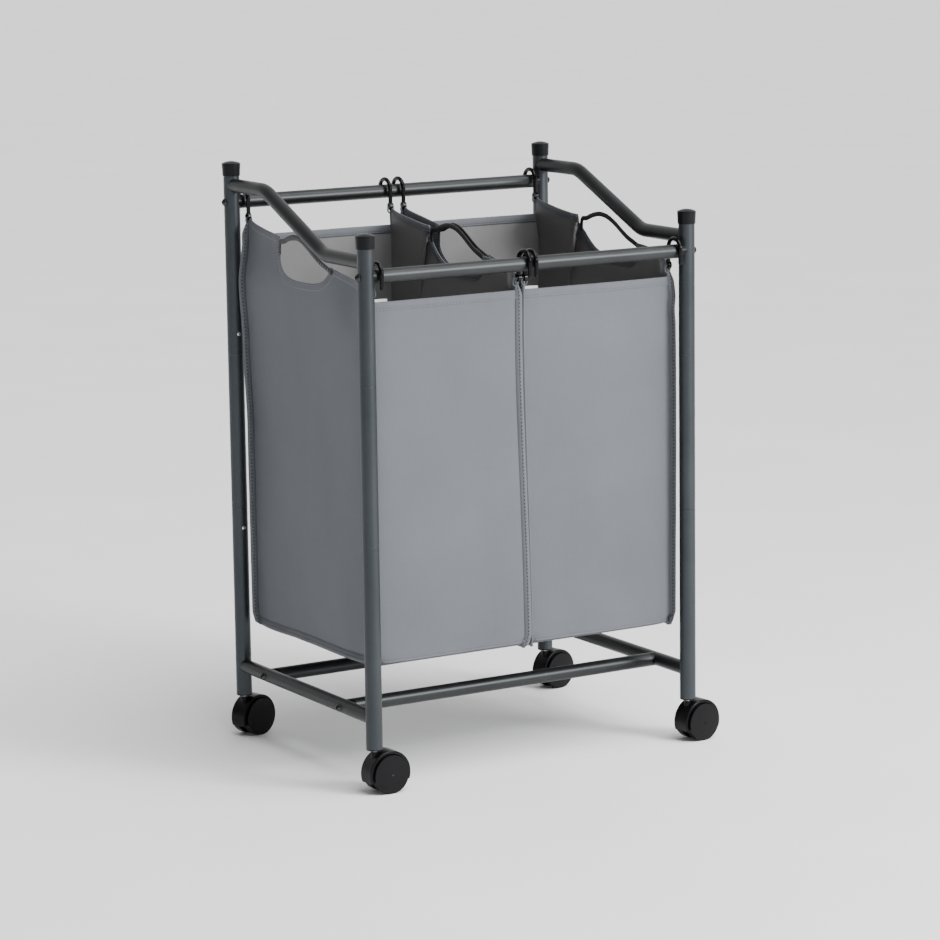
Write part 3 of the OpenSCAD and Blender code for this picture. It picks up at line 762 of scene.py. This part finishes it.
def bag_straps(bag, straps, threads):
    """Webbing straps over the hand holes: sewn down along the hole's back edge and its front corner."""
    route = ((69.5, 688), (69.5, 697), (67, 704.5), (56, 706.5), (42, 711.5), (25, 714.5), (6, 711.5),
             (-12, 703.5), (-28, 694.5), (-42, 687.5), (-56, 682.5), (-73, 676.5))
    path = catmull([Vector((0, y, z)) for y, z in route], 8)
    for where in ("left", "right"):
        side = -1 if where == "left" else 1
        n = Vector((side, 0, 0))
        rings = []
        for i, p in enumerate(path):
            way = (path[min(i + 1, len(path) - 1)] - path[max(i - 1, 0)]).normalized()
            up = Vector((0, -way.z, way.y))
            blend = smooth(-75, 72, p.y)
            back_x = bag.side(where, NOTCH_BACK_Y - 1, 700).x
            front_x = bag.side(where, NOTCH_FRONT_Y - 3, 676).x
            x = front_x + (back_x - front_x) * blend + side * (2.4 + 1.5 * math.sin(math.pi * blend))
            centre = Vector((x, p.y, p.z))
            ring = []
            for a, k in ((-1, 0.55), (-0.8, 1), (0, 1.15), (0.8, 1), (1, 0.55),
                         (1, -0.55), (0.8, -1), (0, -1.15), (-0.8, -1), (-1, -0.55)):
                ring.append(centre + up * (STRAP_HALF_W * a) + n * (STRAP_HALF_T * k))
            rings.append(ring)
        straps.add(*sweep(rings))
        for low, high in ((1, 14), (len(rings) - 17, len(rings) - 2)):
            for ring in rings[low:high:3]:
                middle = (ring[2] + ring[7]) / 2
                stitch(threads, middle + n * 0.95, (ring[4] - ring[0]).normalized(), n, 4.2)


def corner_loops(bag, loops):
    """Small tape loops that tie each corner of the bag to the eye of its hook."""
    for corner in CORNERS:
        top = bag.seam(corner, bag.top(corner))
        eye = Vector((top.x, (-1 if corner[0] == "f" else 1) * EYE_Y, bag.top(corner) + EYE_RISE))
        rings = []
        for i in range(29):
            a = 2 * math.pi * i / 28
            c = eye + Vector((4.3 * math.sin(a), 0, -5.0 + 5.2 * math.cos(a)))
            way = Vector((4.3 * math.cos(a), 0, -5.2 * math.sin(a))).normalized()
            out = Vector((way.z, 0, -way.x))
            rings.append([c + out * (0.5 * k) + Vector((0, 1.6 * s, 0))
                          for s, k in ((-1, 1), (0, 1.3), (1, 1), (1, -1), (0, -1.3), (-1, -1))])
        loops.add(*sweep(rings, caps=False))


def bag_label(bag):
    """Blank folded label sewn into the front left seam, inside."""
    top = bag.seam("fl", 655)
    rings = []
    for i in range(9):
        s = i / 8
        x = top.x + 2 + LABEL_L * s
        y = top.y + 7 + 2.2 * math.sin(2.2 * s)
        high = HEM_Z["front"] + 3.2 - 0.8 * s
        rings.append([Vector((x, y - 0.35, high)), Vector((x, y + 0.35, high)),
                      Vector((x, y + 0.55, high - LABEL_H)), Vector((x, y - 0.55, high - LABEL_H))])
    verts, faces = sweep(rings)
    return add_mesh(bag.name + "_label", verts, faces, [M["label"]], False)


def build_bag(name):
    """All the soft pieces of one bag, riding on its body."""
    bag = Bag(name)
    shell = add_mesh(name + "_cloth", *bag_shell(bag), [M["bag_cloth"], M["bag_lining"], M["bag_hem"]])
    weld(shell)
    solid = shell.modifiers.new("thickness", "SOLIDIFY")
    solid.thickness, solid.offset = CLOTH_T * MM, 0.0
    solid.material_offset, solid.material_offset_rim = 1, 2
    hems, threads, seam_shadows, straps, loops = Batch(), Batch(), Batch(), Batch(), Batch()
    panel_hems(bag, hems, threads)
    corner_flanges(bag, hems, threads, seam_shadows)
    bottom_flanges(bag, hems, threads, seam_shadows)
    bag_straps(bag, straps, threads)
    corner_loops(bag, loops)
    hem = hems.build(name + "_hems", [M["bag_hem"]])
    thread = threads.build(name + "_stitching", [M["thread"]])
    # dark strips that paint the shadow along the seam stitches
    seam_shadow_piece = seam_shadows.build(name + "_painted_seam_shadows", [M["painted_seam_shadow"]])
    strap = straps.build(name + "_carrying_straps", [M["strap_webbing"]])
    loop = loops.build(name + "_corner_loops", [M["bag_hem"]])
    label = bag_label(bag)
    for piece, slot in ((shell, "bag_cloth"), (hem, "bag_cloth"), (thread, "bag_cloth"), (seam_shadow_piece, "bag_cloth"),
                        (strap, "strap_webbing"), (loop, "bag_cloth"), (label, "bag_cloth")):
        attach(piece, name)
    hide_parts(*(name + "_" + panel + "_panel"
                         for panel in ("front", "back", "left", "right", "bottom")))
    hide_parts(name + "_straps")


for bag_name in BAGS:
    build_bag(bag_name)


# ---- studio ---------------------------------------------------------------------

FLOOR_HALF = 60000
KEY_AT, OVERHEAD_AT, LIT_POINT = Vector((1.5, -2.7, 1.7)), Vector((0.5, -1.15, 3.0)), Vector((0, 0, 0.42))
CAMERA_AT = (-2.4252, -4.0713, 1.2186)


def studio():
    """Pale floor and backdrop, a large soft key light from the right and an even light from above."""
    half = FLOOR_HALF
    corners = [(-half, -half, 0), (half, -half, 0), (half, half, 0), (-half, half, 0)]
    floor = add_mesh("studio_floor", corners, [(0, 1, 2, 3)], [floor_finish()], False)
    world = bpy.data.worlds.new("studio")
    bpy.context.scene.world = world
    world.use_nodes = True
    nodes, links = world.node_tree.nodes, world.node_tree.links
    split = nodes.new("ShaderNodeSeparateXYZ")
    links.new(nodes.new("ShaderNodeTexCoord").outputs["Generated"], split.inputs["Vector"])
    turned = math_node(nodes, links, "ADD", math_node(nodes, links, "MULTIPLY", split.outputs["X"], 0.45),
                       math_node(nodes, links, "MULTIPLY", split.outputs["Y"], 0.89))
    tone = math_node(nodes, links, "ADD", math_node(nodes, links, "MULTIPLY", turned, 0.5), 0.5)
    links.new(colour_ramp(nodes, links, tone, [(0.0, (0.5, 0.51, 0.53)), (0.3, (0.05, 0.05, 0.053)),
                                               (0.55, (0.2, 0.2, 0.203)), (0.85, (1, 1, 1))]),
              nodes["Background"].inputs["Color"])
    nodes["Background"].inputs["Strength"].default_value = 1.1
    key = bpy.data.lights.new("key", "AREA")
    key.shape, key.size, key.energy = "DISK", 1.2, 135
    overhead = bpy.data.lights.new("overhead", "SUN")
    overhead.angle, overhead.energy = math.radians(50), 3.9
    for light, at in ((key, KEY_AT), (overhead, OVERHEAD_AT)):
        lamp = bpy.data.objects.new(light.name, light)
        bpy.context.scene.collection.objects.link(lamp)
        lamp.location = at
        lamp.rotation_mode = "QUATERNION"
        lamp.rotation_quaternion = (LIT_POINT - at).to_track_quat("-Z", "Y")


def camera():
    """Views the sorter from the front left and a little above, as a long lens sees it."""
    yaw, pitch, roll = math.radians(30.922), math.radians(10.049), math.radians(-0.787)
    cam = bpy.data.cameras.new("camera")
    cam.sensor_width, cam.lens = 36.0, 133.9
    cam.clip_start, cam.clip_end = 0.1, 200
    obj = bpy.data.objects.new("camera", cam)
    bpy.context.scene.collection.objects.link(obj)
    forward = Vector((math.sin(yaw) * math.cos(pitch), math.cos(yaw) * math.cos(pitch), -math.sin(pitch)))
    right = Vector((math.cos(yaw), -math.sin(yaw), 0))
    up = right.cross(forward)
    right, up = (right * math.cos(roll) + up * math.sin(roll), up * math.cos(roll) - right * math.sin(roll))
    obj.matrix_world = Matrix((
        (right.x, up.x, -forward.x, CAMERA_AT[0]),
        (right.y, up.y, -forward.y, CAMERA_AT[1]),
        (right.z, up.z, -forward.z, CAMERA_AT[2]),
        (0, 0, 0, 1)))
    bpy.context.scene.camera = obj


camera()
studio()
